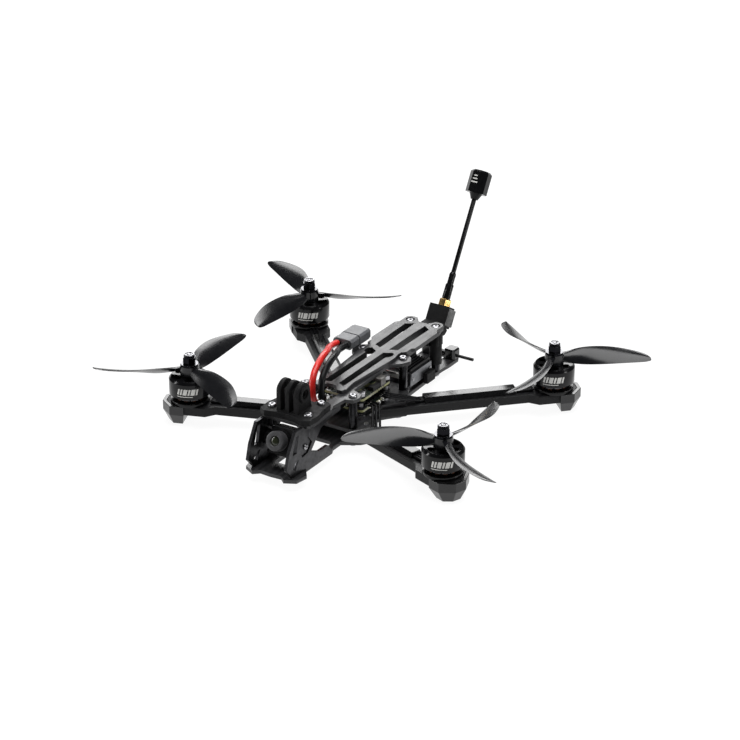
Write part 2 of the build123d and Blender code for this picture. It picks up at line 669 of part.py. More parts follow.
# ---------------------------------------------------------------- tail
ELEMENT_Z = 11.0
ELEMENT_Y = 76.5
ELEMENT_R = 1.1
HOLDER = (8.6, 9.0, 7.4)
with BuildPart() as tail_guard:  # one holder in each corner of the tail, joined by a flat strip
    with Locations(*[(side * 9.2, 77.0, ARM_Z) for side in (1, -1)]):
        Box(*HOLDER, align=(Align.CENTER, Align.CENTER, Align.MIN))
    chamfer(tail_guard.edges().filter_by(Axis.Z), 1.6)
    chamfer(tail_guard.faces().sort_by(Axis.Z)[-2:].edges(), 0.9)
    with Locations((0, 77.0, ARM_Z)):
        Box(20, 6.0, 1.6, align=(Align.CENTER, Align.CENTER, Align.MIN))
    with BuildSketch(Plane.YZ.offset(-15)):
        with Locations((ELEMENT_Y, ELEMENT_Z)):
            Circle(ELEMENT_R + 0.05)
    extrude(amount=30, mode=Mode.SUBTRACT)
save(tail_guard, "tail_guard")

with BuildPart() as receiver_antenna:
    with BuildSketch(Plane.YZ.offset(-26.5)):
        with Locations((ELEMENT_Y, ELEMENT_Z)):
            Circle(ELEMENT_R)
    extrude(amount=53)
save(receiver_antenna, "receiver_antenna")

HOLDER_CHEEK = (3.0, 10.5, 7.5)
with BuildPart() as vtx_holder:  # a thick cheek each side of the video transmitter, joined beneath it
    with Locations((0, 33.5, ARM_Z)):
        Box(29, 4, 2.0, align=(Align.CENTER, Align.CENTER, Align.MIN))
    with Locations(*[(side * 15.7, 36.2, ARM_Z) for side in (1, -1)]):
        Box(*HOLDER_CHEEK, align=(Align.CENTER, Align.CENTER, Align.MIN))
save(vtx_holder, "vtx_holder")

# ---------------------------------------------------------------- battery lead
with BuildPart() as battery_plug:
    with BuildSketch(Plane.XZ.offset(-PLUG_FRONT_Y)):
        with Locations((PLUG_CENTRE_X, BATTERY_TOP + PLUG_HEIGHT / 2)):
            RectangleRounded(PLUG_WIDTH - 0.8, PLUG_HEIGHT - 0.8, 1.2)
    extrude(amount=-10)
    with BuildSketch(Plane.XZ.offset(-PLUG_FRONT_Y - 10)):
        with Locations((PLUG_CENTRE_X, BATTERY_TOP + PLUG_HEIGHT / 2)):
            RectangleRounded(PLUG_WIDTH, PLUG_HEIGHT, 1.2)
    extrude(amount=-(PLUG_REAR_Y - PLUG_FRONT_Y - 10))
    with BuildSketch(Plane.XZ.offset(-PLUG_REAR_Y)):  # the mating socket's well
        with Locations((PLUG_CENTRE_X, BATTERY_TOP + PLUG_HEIGHT / 2)):
            RectangleRounded(PLUG_WIDTH - 2.4, PLUG_HEIGHT - 2.4, 0.6)
            with Locations((-PLUG_PITCH / 2, 0), (PLUG_PITCH / 2, 0)):
                Circle(1.75, mode=Mode.SUBTRACT)
    extrude(amount=9.0, mode=Mode.SUBTRACT)
save(battery_plug, "battery_plug")

LEAD_ROUTES = {
    "red": [
        (-LEAD_X, TAB_FRONT_Y, LEAD_Z), (-LEAD_X, -67.5, LEAD_Z), (-3.6, -79.5, 36.5), (-6.2, -75.5, 52.0),
        (-10.5, -58.0, 57.0), (-15.5, -41.5, 55.2), (-24.5, -27.5, 49.2), (-27.1, -12.0, 46.1)],
    "black": [
        (LEAD_X, TAB_FRONT_Y, LEAD_Z), (LEAD_X, -67.5, LEAD_Z), (3.4, -79.5, 36.5), (0.8, -75.5, 52.6),
        (-3.4, -58.5, 56.6), (-8.6, -42.0, 54.8), (-17.1, -27.5, 49.0), (-19.9, -12.0, 46.1)]}


def bend_radii(points):
    """For each corner of a route, the radius that its two runs leave room for."""
    points = [Vector(*p) for p in points]
    radii = []
    for before, here, after in zip(points, points[1:], points[2:]):
        run_in, run_out = here - before, after - here
        half_turn = radians(run_in.get_angle(run_out)) / 2
        radii.append(0.45 * min(run_in.length, run_out.length) / tan(half_turn))
    return radii


for colour, route in LEAD_ROUTES.items():
    radii = bend_radii(route)
    with BuildPart() as battery_wire:
        with BuildLine() as path:
            FilletPolyline(*route, radius=radii)
        with BuildSketch(Plane(origin=route[0], z_dir=(0, -1, 0))):
            Circle(WIRE_R)
        sweep()
    length = path.wires()[0].length
    print("radii", [round(r, 1) for r in radii], "length", round(length, 1),
          "volume", round(battery_wire.part.volume, 1), "of", round(pi * WIRE_R**2 * length, 1))
    save(battery_wire, f"battery_wire_{colour}")

# ---------------------------------------------------------------- motor wires
PAD_Y = {"front": -42.5, "rear": -25.8}
WIRE_START_X = 17.6
FAN = {"front": 1.0, "rear": -1.2}  # keeps the three wires apart where they leave the board
STAGGER = {"front": 1.2, "rear": 0.0}  # and where they turn along the arm
with BuildPart() as motor_wires:
    for where, side_name in ARMS:
        side = MIRROR_SIDES[side_name]
        plane = arm_plane(where == "front", side, MID_PLATE_Z + 1.1)
        for k in (-1, 0, 1):
            across = side * k * WIRE_PITCH
            inner = plane.from_local_coords((-COVER_END[where] - 2.5 + STAGGER[where] * k, across, 0))
            outer = plane.from_local_coords((-14.4, across, 0))
            pad_y = PAD_Y[where] + 2.6 * k
            start = Vector(side * WIRE_START_X, pad_y, ESC_Z + STACK_BOARD[2] + MOTOR_WIRE_R)
            out = start + Vector(side * (4.5 + FAN[where] * k), 0, 0)
            with BuildLine():
                FilletPolyline(start, out, inner, outer, radius=2.2)
            with BuildSketch(Plane(origin=start, z_dir=(side, 0, 0))):
                Circle(MOTOR_WIRE_R)
            sweep()
save(motor_wires, "motor_wires")

# ---------------------------------------------------------------- motors and propellers
BASE_TOP_Z = MID_PLATE_Z + 2.5


with BuildPart() as base_shape:
    with BuildSketch(Plane.XZ):
        with BuildLine():
            Polyline((BEARING_BORE_R, MID_PLATE_Z + 1), (MOTOR_BASE_R, MID_PLATE_Z + 1),
                     (MOTOR_BASE_R, BASE_TOP_Z), (4.6, BASE_TOP_Z), (4.0, BASE_TOP_Z + 1), (4.0, 28.4),
                     (BEARING_BORE_R, 28.4), close=True)
        make_face()
    revolve(axis=Axis.Z)
    with BuildSketch(Plane.XY.offset(MID_PLATE_Z)):
        Circle(MOTOR_BASE_R)
    extrude(amount=1.0)
    with BuildSketch(Plane.XY.offset(MID_PLATE_Z)):
        with PolarLocations(MOTOR_SCREW_R, 4, start_angle=45):
            Circle(TAPPED_R)
        with PolarLocations(9.6, 4, start_angle=0):
            SlotOverall(6.5, 3.6, rotation=90)
        Circle(BEARING_BORE_R)
    extrude(amount=2.5, mode=Mode.SUBTRACT)

with BuildPart() as stator_shape:
    with BuildSketch(Plane.XY.offset(STATOR_Z[0])):
        Circle(STATOR_R)
        Circle(4.05, mode=Mode.SUBTRACT)
        with PolarLocations(8.6, 12):
            Rectangle(5.6, 1.6, mode=Mode.SUBTRACT)
    extrude(amount=STATOR_Z[1] - STATOR_Z[0])

with BuildPart() as bell_shape:
    with BuildSketch(Plane.XZ):
        with BuildLine():
            Polyline((12.2, BELL_BOTTOM_Z), (13.6, BELL_BOTTOM_Z), (BELL_R, BELL_BOTTOM_Z + 0.5),
                     (BELL_R, 31.2), (12.6, BELL_TOP_Z), (6.0, BELL_TOP_Z), (5.4, HUB_Z), (0, HUB_Z),
                     (0, 29.4), (4.2, 29.4), (5.0, 30.8), (12.2, 30.8), close=True)
        make_face()
    revolve(axis=Axis.Z)
    with BuildSketch(Plane.XY.offset(30.0)):
        with PolarLocations(8.9, 6):
            SlotOverall(5.4, 4.4, rotation=90)
    extrude(amount=4.0, mode=Mode.SUBTRACT)
    with BuildSketch(Plane.XY.offset(MID_PLATE_Z + 1.5)):
        Circle(BEARING_SHAFT_R)
    extrude(amount=30.0 - MID_PLATE_Z - 1.5)
    with BuildSketch(Plane.XY.offset(HUB_Z)):
        Circle(SHAFT_R)
    extrude(amount=46.0 - HUB_Z)


def blade_section(i, spin):
    """One section of the blade along +X; spin is +1 for counter-clockwise seen from above."""
    r, chord, sweep_y, thick = BLADE_R[i], BLADE_CHORD[i], BLADE_SWEEP[i], BLADE_THICKNESS[i]
    twist = min(atan2(PROP_PITCH, 2 * pi * r), radians(38))
    across = (0, spin * cos(twist), sin(twist))
    plane = Plane(origin=(r, spin * sweep_y, PROP_Z), x_dir=across, z_dir=(spin, 0, 0))
    with BuildSketch(plane) as section:
        with BuildLine():
            over = ThreePointArc((-chord / 2, 0), (0, 0.75 * thick), (chord / 2, 0))
            ThreePointArc(over @ 1, (0, -0.25 * thick), over @ 0)
        make_face()
    return section.sketch


def propeller(spin):
    with BuildPart() as blade:
        loft(sections=[blade_section(i, spin) for i in range(len(BLADE_R))])
    with BuildPart() as prop:
        with BuildSketch(Plane.XY.offset(HUB_Z)):
            Circle(HUB_R)
        extrude(amount=HUB_HEIGHT)
        with PolarLocations(0, 3):
            add(blade.part)
        with BuildSketch(Plane.XY.offset(HUB_Z)):
            Circle(SHAFT_R + 0.05)
        extrude(amount=HUB_HEIGHT, mode=Mode.SUBTRACT)
    return prop.part


NUT_BASE_Z = HUB_Z + HUB_HEIGHT
with BuildPart() as nut_shape:
    with BuildSketch(Plane.XY.offset(NUT_BASE_Z)):
        Circle(5.9)
    extrude(amount=1.2)
    with BuildSketch(Plane.XY.offset(NUT_BASE_Z + 1.2)):
        RegularPolygon(4.0, 6, major_radius=False)
    extrude(amount=4.6)
    with BuildSketch(Plane.XY.offset(NUT_BASE_Z + 5.8)):
        Circle(3.7)
    extrude(amount=NUT_TOP_Z - NUT_BASE_Z - 5.8)
    with BuildSketch(Plane.XY.offset(NUT_BASE_Z)):
        Circle(SHAFT_R + 0.05)
    extrude(amount=46.2 - NUT_BASE_Z, mode=Mode.SUBTRACT)

propellers = {spin: propeller(spin) for spin in (1, -1)}

for where, side_name in ARMS:
    side = MIRROR_SIDES[side_name]
    y = FRONT_MOTOR_Y if where == "front" else REAR_MOTOR_Y
    spin = 1 if (where == "front") == (side < 0) else -1
    rest_angle = (90 if where == "front" else 30) + spin * TIP_LAG  # each swept tip lies on a round angle
    place = Location((side * MOTOR_X, y, 0))
    arm_angle = side * (-FRONT_ARM_ANGLE if where == "front" else REAR_ARM_ANGLE)
    corner = f"{where}_{side_name}"
    shapes = {
        f"motor_base_{corner}": (base_shape.part, arm_angle),
        f"stator_{corner}": (stator_shape.part, arm_angle),
        f"bell_{corner}": (bell_shape.part, 0), f"propeller_{corner}": (propellers[spin], rest_angle),
        f"prop_nut_{corner}": (nut_shape.part, 0)}
    for label, (shape, angle) in shapes.items():
        with BuildPart() as motor_part:
            with Locations(place * Location((0, 0, 0), (0, 0, angle))):
                add(shape)
        save(motor_part, label)
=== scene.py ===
import json
import math
import random

import bmesh
import bpy
from mathutils import Matrix, Vector


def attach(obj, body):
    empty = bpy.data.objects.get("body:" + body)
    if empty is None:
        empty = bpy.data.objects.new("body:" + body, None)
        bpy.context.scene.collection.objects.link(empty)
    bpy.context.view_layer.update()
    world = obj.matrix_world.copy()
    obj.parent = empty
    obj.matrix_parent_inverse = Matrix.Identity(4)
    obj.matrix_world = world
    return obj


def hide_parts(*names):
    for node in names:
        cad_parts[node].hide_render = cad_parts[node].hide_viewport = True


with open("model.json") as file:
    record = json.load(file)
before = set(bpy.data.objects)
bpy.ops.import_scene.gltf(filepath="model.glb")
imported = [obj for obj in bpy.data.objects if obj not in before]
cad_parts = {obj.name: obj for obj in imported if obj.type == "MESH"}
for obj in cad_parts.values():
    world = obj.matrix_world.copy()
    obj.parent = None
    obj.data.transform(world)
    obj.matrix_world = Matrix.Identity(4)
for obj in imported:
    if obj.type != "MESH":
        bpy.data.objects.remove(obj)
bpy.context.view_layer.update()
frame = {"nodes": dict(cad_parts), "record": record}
NODES = frame["nodes"]
MM = 0.001
CORNERS = {  # each motor's axis, and its arm's lean from straight across, in degrees
    "front_left": (98, -84, -20), "front_right": (-98, -84, 20),
    "rear_left": (98, 61, 45), "rear_right": (-98, 61, -45)}
random.seed(7)


# ---------------------------------------------------------------- materials
class Graph:
    """A Principled material and the nodes that feed it."""

    def __init__(self, name, **sockets):
        self.mat = bpy.data.materials.new(name)
        self.mat.use_nodes = True
        self.tree = self.mat.node_tree
        self.bsdf = self.tree.nodes["Principled BSDF"]
        for socket, value in sockets.items():
            self.bsdf.inputs[socket.replace("_", " ")].default_value = value

    def node(self, kind, inputs=None, **props):
        made = self.tree.nodes.new("ShaderNode" + kind)
        for key, value in props.items():
            setattr(made, key, value)
        for key, value in (inputs or {}).items():
            self.feed(made.inputs[key], value)
        return made

    def feed(self, socket, value):
        if isinstance(value, bpy.types.NodeSocket):
            self.tree.links.new(value, socket)
        else:
            socket.default_value = value

    def math(self, operation, a, b=0.0, clamp=False):
        return self.node("Math", {0: a, 1: b}, operation=operation, use_clamp=clamp).outputs[0]

    def mix(self, factor, a, b):
        """Mix two numbers."""
        made = self.node("Mix", {"Factor": factor, "A": a, "B": b}, data_type="FLOAT")
        return made.outputs["Result"]

    def tint(self, factor, dark, light):
        """Mix two colours, each (r, g, b) or a socket."""
        made = self.node("Mix", data_type="RGBA")
        colours = [s for s in made.inputs if s.type == "RGBA"]
        self.feed(made.inputs[0], factor)
        for socket, value in zip(colours, (dark, light)):
            self.feed(socket, (*value, 1) if isinstance(value, tuple) else value)
        return [s for s in made.outputs if s.type == "RGBA"][0]

    def place(self, scale=(1, 1, 1), rotation=(0, 0, 0)):
        """Coordinates in millimetres, in the object's own frame."""
        mapping = self.node("Mapping", {
            "Vector": self.node("TexCoord").outputs["Object"],
            "Rotation": rotation, "Scale": tuple(1000 * s for s in scale)})
        return mapping.outputs[0]

    def noise(self, scale, detail=3.0, stretch=(1, 1, 1), rough=0.55):
        made = self.node("TexNoise", {
            "Vector": self.place(stretch), "Scale": scale, "Detail": detail, "Roughness": rough})
        return made.outputs[0]

    def spread(self, value, low, high):
        """Stretch noise's usual middle range (0.3 to 0.7) to low..high."""
        made = self.node("MapRange", {0: value, 1: 0.3, 2: 0.7, 3: low, 4: high})
        return made.outputs[0]

    def bump(self, height, strength, distance_mm):
        made = self.node("Bump", {"Height": height, "Strength": strength, "Distance": distance_mm * MM})
        self.feed(self.bsdf.inputs["Normal"], made.outputs[0])

    def surface(self, colour=None, roughness=None):
        if colour is not None:
            self.feed(self.bsdf.inputs["Base Color"], colour)
        if roughness is not None:
            self.feed(self.bsdf.inputs["Roughness"], roughness)
        return self.mat


def carbon(name, dark, light, roughness, specular=0.4, coat=0.12, tow=1.5, turn=45, layer=0.28):
    """Twill-woven carbon: tows over two and under two, with stacked plies on the cut edges."""
    g = Graph(name, Specular_IOR_Level=specular, Coat_Weight=coat, Coat_Roughness=0.25)
    grid = g.node("SeparateXYZ", {0: g.place((1 / tow,) * 3, (0, 0, math.radians(turn)))})
    u, v, z = grid.outputs
    step = g.math("FLOORED_MODULO", g.math("ADD", g.math("FLOOR", u), g.math("FLOOR", v)), 4.0)
    over = g.math("LESS_THAN", step, 1.5)
    across = g.mix(over, g.math("FRACT", v), g.math("FRACT", u))
    along = g.mix(over, g.math("FRACT", u), g.math("FRACT", v))
    crown = g.math("SINE", g.math("MULTIPLY", across, math.pi))
    dip = g.math("POWER", g.math("SINE", g.math("MULTIPLY", along, math.pi)), 0.4)
    height = g.math("MULTIPLY", crown, dip)
    fibre = g.mix(over, g.noise(1.2, 2, (0.15, 3.5, 1)), g.noise(1.2, 2, (3.5, 0.15, 1)))
    level = g.math("ADD", g.mix(over, 0.25, 0.75), g.spread(fibre, -0.2, 0.2))
    normal = g.node("SeparateXYZ", {0: g.node("NewGeometry").outputs["Normal"]}).outputs[2]
    edge = g.math("LESS_THAN", g.math("ABSOLUTE", normal), 0.45)
    ply = g.math("FRACT", g.math("MULTIPLY", z, tow / layer))
    ply_tone = g.math("ADD", g.math("MULTIPLY", g.math("PINGPONG", ply, 0.5), 0.9),
                      g.spread(g.noise(0.9, 4, (1, 1, 2.5)), -0.25, 0.45))
    colour = g.tint(g.mix(edge, level, ply_tone), dark, light)
    g.bump(g.mix(edge, height, g.math("MULTIPLY", ply, 0.6)), 0.22, 0.12)
    shine = g.spread(g.noise(0.06, 4), roughness - 0.05, roughness + 0.07)
    return g.surface(colour, g.mix(edge, shine, 0.5))


def printed(name, dark, light, layer=0.25, roughness=0.62):
    """Soft printed plastic: fine layer lines up Z, with a slightly dusty skin."""
    g = Graph(name, Specular_IOR_Level=0.18)
    z = g.node("SeparateXYZ", {0: g.place((1 / layer,) * 3)}).outputs[2]
    wobble = g.math("ADD", z, g.math("MULTIPLY", g.noise(0.15, 2), 0.8))
    ridge = g.math("SINE", g.math("MULTIPLY", wobble, 2 * math.pi))
    grain = g.noise(2.4, 4)
    g.bump(g.math("ADD", g.math("MULTIPLY", ridge, 0.5), grain), 0.3, 0.06)
    return g.surface(g.tint(g.spread(g.noise(0.18, 5), 0.0, 1.0), dark, light),
                     g.spread(g.noise(0.5, 3), roughness - 0.08, roughness + 0.1))


def moulded(name, dark, light, roughness, grain=0.12, coat=0.0, wear=0.7, **sockets):
    """Moulded plastic with a fine grain and a little unevenness in its gloss."""
    g = Graph(name, Coat_Weight=coat, Coat_Roughness=0.08, **sockets)
    if grain:
        g.bump(g.noise(3.2, 4), grain, 0.05)
    return g.surface(g.tint(g.spread(g.noise(0.25, 5), 0.0, 1.0), dark, light),
                     g.spread(g.noise(wear, 2), roughness - 0.05, roughness + 0.06))


def metal(name, dark, light, roughness, brush=(1, 1, 1), grain=0.12, **sockets):
    """Machined or anodised metal with fine tool marks."""
    g = Graph(name, Metallic=1.0, **sockets)
    marks = g.noise(2.5, 5, brush)
    g.bump(marks, grain, 0.04)
    return g.surface(g.tint(g.spread(g.noise(0.3, 5), 0.0, 1.0), dark, light),
                     g.spread(marks, roughness - 0.07, roughness + 0.09))


def board(name, mask_dark, mask_light, copper, edge_colour):
    """A circuit board: solder mask with traces under it, tinned pads, and a bare laminate edge."""
    g = Graph(name, Coat_Weight=0.4, Coat_Roughness=0.12, Roughness=0.4)
    cells = g.node("TexVoronoi", {"Vector": g.place(), "Scale": 0.55, "Randomness": 0.8},
                   feature="DISTANCE_TO_EDGE", distance="CHEBYCHEV").outputs[0]
    trace = g.math("LESS_THAN", cells, 0.09)
    dots = g.node("TexVoronoi", {"Vector": g.place(), "Scale": 0.8, "Randomness": 0.35}).outputs["Distance"]
    pad = g.math("LESS_THAN", dots, 0.17)
    mask = g.tint(g.math("MULTIPLY", trace, 0.8), mask_dark, mask_light)
    top = g.tint(pad, mask, copper)
    normal = g.node("SeparateXYZ", {0: g.node("NewGeometry").outputs["Normal"]}).outputs[2]
    edge = g.math("LESS_THAN", g.math("ABSOLUTE", normal), 0.45)
    edge_dark = tuple(0.7 * c for c in edge_colour)
    fibres = g.tint(g.spread(g.noise(1.6, 4, (1, 1, 4)), 0.0, 1.0), edge_dark, edge_colour)
    g.bump(g.math("ADD", g.math("MULTIPLY", trace, 0.5), pad), 0.3, 0.05)
    g.feed(g.bsdf.inputs["Metallic"], g.math("MULTIPLY", pad, g.math("SUBTRACT", 1.0, edge)))
    return g.surface(g.tint(edge, top, fibres))


CARBON = carbon("carbon", (0.010, 0.010, 0.011), (0.042, 0.042, 0.045), 0.36)
CARBON_ARM = carbon("carbon_arm", (0.003, 0.003, 0.0035), (0.014, 0.014, 0.015), 0.42, 0.22, 0.0)
TPU = printed("tpu", (0.0035, 0.0035, 0.004), (0.008, 0.008, 0.0085))
# a light grey copy of the black printed plastic: painted light, standing in for the lit flanks of the antenna
# mount
TPU_PAINTED_LIT = printed("tpu_painted_lit", (0.14, 0.14, 0.14), (0.26, 0.26, 0.26), layer=1.1)
GUARD = moulded("guard", (0.003, 0.003, 0.0035), (0.007, 0.007, 0.0075), 0.2, 0.04, Specular_IOR_Level=0.5)
ANODISED = metal("dark_aluminium", (0.03, 0.03, 0.032), (0.065, 0.065, 0.069), 0.34, (0.3, 1, 1))
STANDOFF = metal("standoff", (0.010, 0.010, 0.011), (0.03, 0.03, 0.032), 0.26, (1, 1, 0.2))
STEEL = metal("steel", (0.3, 0.3, 0.31), (0.42, 0.42, 0.44), 0.3, grain=0.05)
COVER = moulded("cover", (0.003, 0.003, 0.0035), (0.007, 0.007, 0.0075), 0.16, 0.05, Specular_IOR_Level=0.45)
PROP = moulded("propeller", (0.0045, 0.0048, 0.006), (0.0075, 0.0078, 0.009), 0.22, 0.0, wear=0.04,
               Specular_IOR_Level=0.42)
MOTOR = moulded("motor", (0.0025, 0.0025, 0.003), (0.005, 0.005, 0.0055), 0.17, 0.0, wear=0.15,
                Specular_IOR_Level=0.25)
COPPER = metal("winding", (0.03, 0.014, 0.009), (0.07, 0.034, 0.02), 0.34, (1, 1, 3), 0.4)
STACK_IRON = metal("stator_iron", (0.06, 0.06, 0.065), (0.15, 0.15, 0.155), 0.45, (0.3, 0.3, 6), 0.5)
BOARD = board("board", (0.004, 0.008, 0.006), (0.014, 0.028, 0.019), (0.6, 0.58, 0.5), (0.36, 0.36, 0.16))
SLEEVE = moulded("capacitor", (0.006, 0.006, 0.007), (0.012, 0.012, 0.014), 0.24, 0.06, coat=0.3)
SHIELD = metal("shield", (0.12, 0.123, 0.13), (0.2, 0.205, 0.215), 0.36, (1, 0.25, 1))
BUTTON = moulded("button", (0.5, 0.5, 0.48), (0.62, 0.62, 0.6), 0.45)
CAMERA = moulded("camera", (0.0035, 0.0035, 0.004), (0.008, 0.008, 0.0085), 0.5, 0.1, Specular_IOR_Level=0.2)
RING = moulded("lens_ring", (0.028, 0.028, 0.03), (0.055, 0.055, 0.058), 0.4, 0.03)
BRASS = metal("brass", (0.62, 0.38, 0.12), (0.85, 0.58, 0.24), 0.2)
ANTENNA = moulded("antenna", (0.0025, 0.0025, 0.003), (0.005, 0.005, 0.0055), 0.18, 0.0,
                  Specular_IOR_Level=0.22)
PLUG = moulded("plug", (0.10, 0.103, 0.11), (0.145, 0.149, 0.158), 0.42, 0.2)
RED = moulded("red_wire", (0.55, 0.010, 0.007), (0.76, 0.022, 0.015), 0.36, 0.12, coat=0.15)
BLACK = moulded("black_wire", (0.003, 0.003, 0.0035), (0.006, 0.006, 0.007), 0.3, 0.06,
                Specular_IOR_Level=0.12)
CHIP = moulded("chip", (0.006, 0.006, 0.0065), (0.014, 0.014, 0.015), 0.42, 0.2, Specular_IOR_Level=0.3)
SOLDER = metal("solder", (0.4, 0.4, 0.38), (0.62, 0.62, 0.58), 0.2)
CAN = metal("can", (0.14, 0.135, 0.13), (0.26, 0.25, 0.24), 0.42, grain=0.2)
WHITE = moulded("white_plastic", (0.5, 0.5, 0.48), (0.66, 0.66, 0.63), 0.4)


def capped_nut():
    """A black flange nut whose upward faces are painted lighter: a painted highlight, as if lit from above,
    broken up by noise.
    """
    g = Graph("nut", Metallic=1.0, Roughness=0.24)
    normal = g.node("SeparateXYZ", {0: g.node("NewGeometry").outputs["Normal"]}).outputs[2]
    # painted highlight: the colour lightens as a face turns upward, towards the overhead light
    lit_top = g.node("MapRange", {0: normal, 1: 0.55, 2: 0.95, 3: 0.0, 4: 1.0}).outputs[0]
    highlight_patches = g.spread(g.noise(1.3, 5), 0.35, 1.0)
    g.bump(g.noise(2.0, 4), 0.1, 0.04)
    return g.surface(g.tint(g.math("MULTIPLY", lit_top, highlight_patches), (0.010, 0.010, 0.012), (0.2, 0.2, 0.21)))


NUT = capped_nut()

SLOT_LOOKS = {  # the record's slot: its material, and how far its edges are rounded
    "carbon": (CARBON, 0.2), "carbon_arm": (CARBON_ARM, 0.3), "tpu": (TPU, 0.35),
    "dark_aluminium": (ANODISED, 0.25), "standoff": (STANDOFF, 0.2), "steel": (STEEL, 0.12),
    "cover": (COVER, 0.4), "board": (BOARD, 0.0), "capacitor": (SLEEVE, 0.0), "shield": (SHIELD, 0.25),
    "button": (BUTTON, 0.2), "camera": (CAMERA, 0.3), "lens": (RING, 0.2), "brass": (BRASS, 0.2),
    "antenna": (ANTENNA, 0.25), "propeller": (PROP, 0.0), "motor": (MOTOR, 0.3),
    "winding": (COPPER, 0.0), "plug": (PLUG, 0.3), "red_wire": (RED, 0.0), "black_wire": (BLACK, 0.0)}


def soften(obj, width, segments=2):
    """Round the sharp edges a little, as every made edge is."""
    weld = obj.modifiers.new("weld", "WELD")
    weld.merge_threshold = 0.002 * MM
    bevel = obj.modifiers.new("bevel", "BEVEL")
    bevel.width = width * MM
    bevel.segments = segments
    bevel.limit_method = "ANGLE"
    bevel.angle_limit = math.radians(35)
    bevel.harden_normals = True


for part in frame["record"]["subparts"]:
    node = NODES[part["node"]]
    look, rounding = SLOT_LOOKS[part["material_slot"]]
    node.data.materials.clear()
    node.data.materials.append(look)
    if rounding:
        soften(node, rounding)
    if part["node"].startswith("prop_nut"):
        node.data.materials[0] = NUT
    if part["node"] == "tail_guard":
        node.data.materials[0] = GUARD


# ---------------------------------------------------------------- piece builders
def finish_piece(name, bm, look, body="frame", matrix=None, rounding=0.0, replaces=(), crease=40):
    """Turn a bmesh in millimetres into a piece that rides on a body."""
    bmesh.ops.remove_doubles(bm, verts=bm.verts, dist=1e-4)
    bmesh.ops.recalc_face_normals(bm, faces=bm.faces)
    bm.transform(Matrix.Scale(MM, 4))
    if matrix is not None:
        bm.transform(matrix)
    mesh = bpy.data.meshes.new(name)
    bm.to_mesh(mesh)
    bm.free()
    mesh.shade_smooth()
    mesh.set_sharp_from_angle(angle=math.radians(crease))
    mesh.materials.append(look)
    obj = bpy.data.objects.new(name, mesh)
    bpy.context.scene.collection.objects.link(obj)
    if rounding:
        soften(obj, rounding)
    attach(obj, body)
    if replaces:
        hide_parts(*replaces)
    return obj


def prism(bm, outline, low, high, matrix=Matrix()):
    """A straight-sided block over a flat outline."""
    rings = [[bm.verts.new(matrix @ Vector((x, y, z))) for x, y in outline] for z in (low, high)]
    n = len(outline)
    bm.faces.new(list(reversed(rings[0])))
    bm.faces.new(rings[1])
    for i in range(n):
        j = (i + 1) % n
        bm.faces.new((rings[0][i], rings[0][j], rings[1][j], rings[1][i]))


def block(bm, centre, size, matrix=Matrix()):
    x, y, z = centre
    a, b, c = (s / 2 for s in size)
    prism(bm, [(x - a, y - b), (x + a, y - b), (x + a, y + b), (x - a, y + b)], z - c, z + c, matrix)


def lathe(bm, profile, segments=48, matrix=Matrix()):
    """Turn a closed or axis-to-axis profile of (radius, height) about Z."""
    rings = []
    for r, z in profile:
        if r < 1e-6:
            rings.append([bm.verts.new(matrix @ Vector((0, 0, z)))])
        else:
            rings.append([bm.verts.new(matrix @ Vector((
                r * math.cos(2 * math.pi * k / segments), r * math.sin(2 * math.pi * k / segments), z)))
                for k in range(segments)])
    for below, above in zip(rings, rings[1:]):
        for k in range(segments):
            j = (k + 1) % segments
            corners = [below[k % len(below)], below[j % len(below)],
                       above[j % len(above)], above[k % len(above)]]
            unique = list(dict.fromkeys(corners))
            if len(unique) > 2:
                bm.faces.new(unique)


def bolt_circle(radius, count, start=0.0):
    for k in range(count):
        angle = math.radians(start) + 2 * math.pi * k / count
        yield radius * math.cos(angle), radius * math.sin(angle), angle


def wire(name, points, radius, look, body="frame", resolution=10):
    """A round wire whose smooth line follows the points (NURBS)."""
    curve = bpy.data.curves.new(name, "CURVE")
    curve.dimensions = "3D"
    curve.bevel_depth = radius * MM
    curve.bevel_resolution = 5
    curve.use_fill_caps = True
    spline = curve.splines.new("NURBS")
    spline.points.add(len(points) - 1)
    for made, point in zip(spline.points, points):
        made.co = (*(c * MM for c in point), 1)
    spline.order_u = 3
    spline.use_endpoint_u = True
    spline.resolution_u = resolution
    curve.materials.append(look)
    obj = bpy.data.objects.new(name, curve)
    bpy.context.scene.collection.objects.link(obj)
    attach(obj, body)
    return obj


# ---------------------------------------------------------------- battery lead
LEAD_ROUTES = {
    "red": [
        (-3.4, -53.6, 25.6), (-3.4, -67.5, 25.6), (-3.6, -79.5, 36.5), (-6.2, -75.5, 52.0),
        (-10.5, -58.0, 57.0), (-15.5, -41.5, 55.2), (-24.5, -27.5, 49.2), (-27.1, -12.0, 46.1)],
    "black": [
        (3.4, -53.6, 25.6), (3.4, -67.5, 25.6), (3.4, -79.5, 36.5), (0.8, -75.5, 52.6),
        (-3.4, -58.5, 56.6), (-8.6, -42.0, 54.8), (-17.1, -27.5, 49.0), (-19.9, -12.0, 46.1)]}
LEAD_RADIUS = 2.25

for colour, look in (("red", RED), ("black", BLACK)):
    wire(f"lead_{colour}", LEAD_ROUTES[colour], LEAD_RADIUS, look,
                              resolution=16)
    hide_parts(f"battery_wire_{colour}")


# ---------------------------------------------------------------- battery plug
def plug_outline(width, height, corner, cut):
    """The two-pole plug's section: rounded on the positive side, cut off at the other."""
    w, h = width / 2, height / 2
    return [(-w + cut, -h), (w - corner, -h), (w, -h + corner), (w, h - corner), (w - corner, h),
            (-w + cut, h), (-w, h - cut), (-w, -h + cut)]


